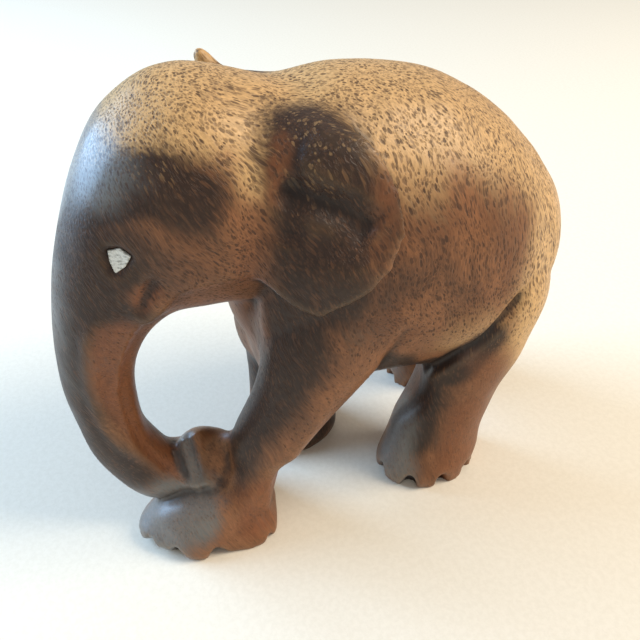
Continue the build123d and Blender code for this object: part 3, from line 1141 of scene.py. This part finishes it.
    def paint(self, clay: Clay) -> None:
        """Save the washes and the relief as attributes for the finish to read.

        Args:
            clay: the carved mesh.
        """
        coats = {tint: np.zeros(len(clay.vertices)) for tint in Tint}
        for wash in (*self.washes, *(dirt_and_shade for sole in self.soles for dirt_and_shade in sole.notch_darkening())):
            wash.paint(clay.vertices, coats[wash.tint])
        for tint, coat in coats.items():
            clay.save(tint.value, coat)
        clay.save("relief", clay.relief(self.relief_rounds))

    def build(self, finish: Material) -> Object:
        """Build, carve, paint and dress the body.

        Args:
            finish: the wood.

        Returns:
            The piece.
        """
        clay = self.skin()
        self.carve(clay)
        self.paint(clay)
        clay.store()
        return shown(clay.mesh, "elephant_body", self.node, finish)


@dataclass(frozen=True)
class EyeChip:
    """One inlaid eye: an irregular chip, softened at its edge by wear."""

    node: str
    voxel: float = 0.14
    relax_rounds: int = 8
    relief_rounds: int = 16
    wobble_pitch: float = 0.9
    wobble: float = 0.06
    wear: float = 0.88

    def build(self, finish: Material) -> Object:
        """Build and dress the chip.

        Args:
            finish: the inlay's material.

        Returns:
            The piece.
        """
        clay = Clay(remeshed(node_mesh(self.node), self.node + "_inlay", self.voxel))
        clay.relax(self.relax_rounds)
        middle = clay.vertices.mean(0)
        clay.vertices = middle + (clay.vertices - middle) * self.wear
        clay.ripple(self.wobble_pitch, self.wobble)
        clay.save("relief", clay.relief(self.relief_rounds))
        clay.store()
        return shown(clay.mesh, self.node + "_inlay", self.node, finish)


# ---- the studio


@dataclass(frozen=True)
class Softbox:
    """One soft light: where it hangs around the object's middle, its size, colour and power."""

    name: str
    towards: Point
    distance: float
    size: float
    colour: tuple[float, float, float]
    watts: float

    def hang(self, middle: Vector) -> None:
        """Hang the light and turn it to the object.

        Args:
            middle: the object's middle.
        """
        lamp = bpy.data.lights.new(self.name, "AREA")
        lamp.shape = "SQUARE"
        lamp.size = self.size
        lamp.color = self.colour
        lamp.energy = self.watts
        holder = linked(self.name, lamp)
        direction = Vector(self.towards).normalized()
        holder.location = middle + direction * self.distance
        holder.rotation_euler = direction.to_track_quat("Z", "Y").to_euler()


@dataclass(frozen=True)
class Studio:
    """A pale floor, soft lights, and a camera that looks down on the elephant's left side.

    Every distance is in metres here, apart from the camera's aim, which is in millimetres.
    """

    azimuth: float = 65.0
    pitch: float = 38.0
    distance: float = 0.1291
    aim: Point = (2.8, -2.8, -4.9)
    lens: float = 39.375
    near: float = 0.005
    floor_size: float = 3.0
    room: Colour = (0.96, 0.96, 0.95, 1.0)
    room_strength: float = 0.52
    lights: tuple[Softbox, ...] = (
        Softbox("window", (-0.56, -0.72, 0.40), 0.6, 0.42, (0.42, 0.67, 1.0), 6.0),
        Softbox("lamp", (0.42, 0.80, 0.86), 0.75, 0.32, (1.0, 0.89, 0.74), 4.8),
    )

    def build(self, finish: Material) -> None:
        """Lay the floor, hang the lights and set up the camera.

        Args:
            finish: the floor's material.
        """
        low, high = (Vector(corner) for corner in CAD_BOX)
        middle = (low + high) / 2
        self.lay_floor(low.z, finish)
        self.fill_room()
        for light in self.lights:
            light.hang(middle)
        self.set_camera(middle)

    def lay_floor(self, level: float, finish: Material) -> None:
        """Lay the floor.

        Args:
            level: the floor's height.
            finish: the floor's material.
        """
        shape = bmesh.new()
        bmesh.ops.create_grid(shape, x_segments=1, y_segments=1, size=self.floor_size / 2)
        mesh = bpy.data.meshes.new("floor")
        shape.to_mesh(mesh)
        shape.free()
        mesh.materials.append(finish)
        floor = linked("floor", mesh)
        floor.location.z = level

    def fill_room(self) -> None:
        """Light the room evenly from all round."""
        world = bpy.data.worlds.new("room")
        world.use_nodes = True
        background = world.node_tree.nodes["Background"]
        background.inputs["Color"].default_value = self.room
        background.inputs["Strength"].default_value = self.room_strength
        bpy.context.scene.world = world
        bpy.context.scene.view_settings.view_transform = "Standard"

    def set_camera(self, middle: Vector) -> None:
        """Set the camera at its distance from a point near the object's middle.

        Args:
            middle: the object's middle.
        """
        camera = linked("camera", bpy.data.cameras.new("camera"))
        camera.data.lens = self.lens
        camera.data.clip_start = self.near
        turn = Euler((radians(90 - self.pitch), 0.0, radians(self.azimuth)))
        camera.rotation_euler = turn
        back = turn.to_matrix() @ Vector((0.0, 0.0, 1.0))
        camera.location = middle + Vector(self.aim) * MM + back * self.distance
        bpy.context.scene.camera = camera


def main() -> None:
    """Build the finishes, the pieces and the studio."""
    logging.basicConfig(level=logging.INFO, format="%(message)s")
    dirt_shade_and_wear = dirt_shade_and_wear_group()
    wood = FleckedWood().material(fleck_group(), dirt_shade_and_wear)
    chip = ScuffedChip().material(dirt_shade_and_wear)
    CarvedBody().build(wood)
    for node in ("left_eye", "right_eye"):
        EyeChip(node).build(chip)
    Studio().build(PaleCard().material())


if __name__ == "__main__":
    main()
